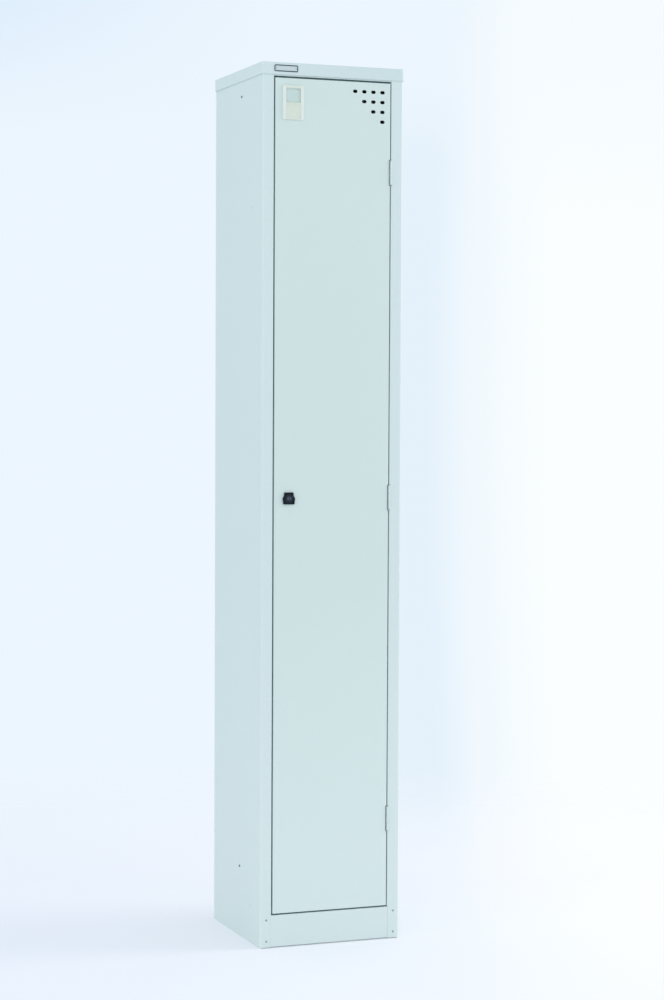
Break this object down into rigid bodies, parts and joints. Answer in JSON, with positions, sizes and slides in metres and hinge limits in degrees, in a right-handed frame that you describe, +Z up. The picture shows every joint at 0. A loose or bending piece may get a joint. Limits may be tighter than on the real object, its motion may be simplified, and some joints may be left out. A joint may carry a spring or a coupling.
{
  "type": "steel locker",
  "caption": "Tall single-door steel locker with a hinged vented door, turning cam lock, label holder, hat shelf, coat rail, plinth and folded cap.",
  "frame": {"origin": "on the floor, at the centre of the carcass's square footprint", "axes": "+Z up, the door faces -Y, +X is the hinge side"},
  "size_m": [0.309, 0.3113, 1.8],
  "materials": {
    "body_paint": "satin powder coat, cool off-white",
    "door_paint": "satin powder coat, cool off-white",
    "hinge_paint": "coated over with the doors and body",
    "hinge_pin": "bright drawn steel",
    "rail_steel": "bright zinc",
    "lock_black": "black coated die casting",
    "lock_face": "dark plated, with wear round the keyway",
    "lock_steel": "bright zinc",
    "label_frame": "cream moulding",
    "label_clear": "clear sheet",
    "label_paper": "blank card",
    "buffer_rubber": "moulded rubber"
  },
  "bodies": {
    "carcass": {"left_side": "body_paint", "right_side": "body_paint", "back_panel": "body_paint", "top_cap": "body_paint", "head_rail": "body_paint", "plinth": "body_paint", "floor_panel": "body_paint", "hat_shelf": "body_paint", "rail_bracket_left": "rail_steel", "rail_bracket_right": "rail_steel", "coat_rail": "rail_steel", "door_buffers": "buffer_rubber", "hinge_bottom_frame_leaf": "hinge_paint", "hinge_bottom_pin": "hinge_pin", "hinge_middle_frame_leaf": "hinge_paint", "hinge_middle_pin": "hinge_pin", "hinge_top_frame_leaf": "hinge_paint", "hinge_top_pin": "hinge_pin"},
    "door": {"door_panel": "door_paint", "door_stiffener": "door_paint", "lock_housing": "lock_black", "lock_nut": "lock_steel", "label_holder": "label_frame", "label_window": "label_clear", "label_card": "label_paper", "hinge_bottom_door_leaf": "hinge_paint", "hinge_middle_door_leaf": "hinge_paint", "hinge_top_door_leaf": "hinge_paint"},
    "lock": {"lock_plug": "lock_face", "lock_cam": "lock_steel", "cam_screw": "lock_steel"}
  },
  "joints": [
    {"name": "door_hinge", "type": "hinge", "parent": "carcass", "child": "door", "pos_m": [0.1268, -0.1535, 0.91975], "axis": [0, 0, 1], "range_deg": [0, 170]},
    {"name": "lock_turn", "type": "hinge", "parent": "door", "child": "lock", "pos_m": [-0.0943, -0.1525, 0.92], "axis": [0, -1, 0], "range_deg": [0, 90]}
  ]
}
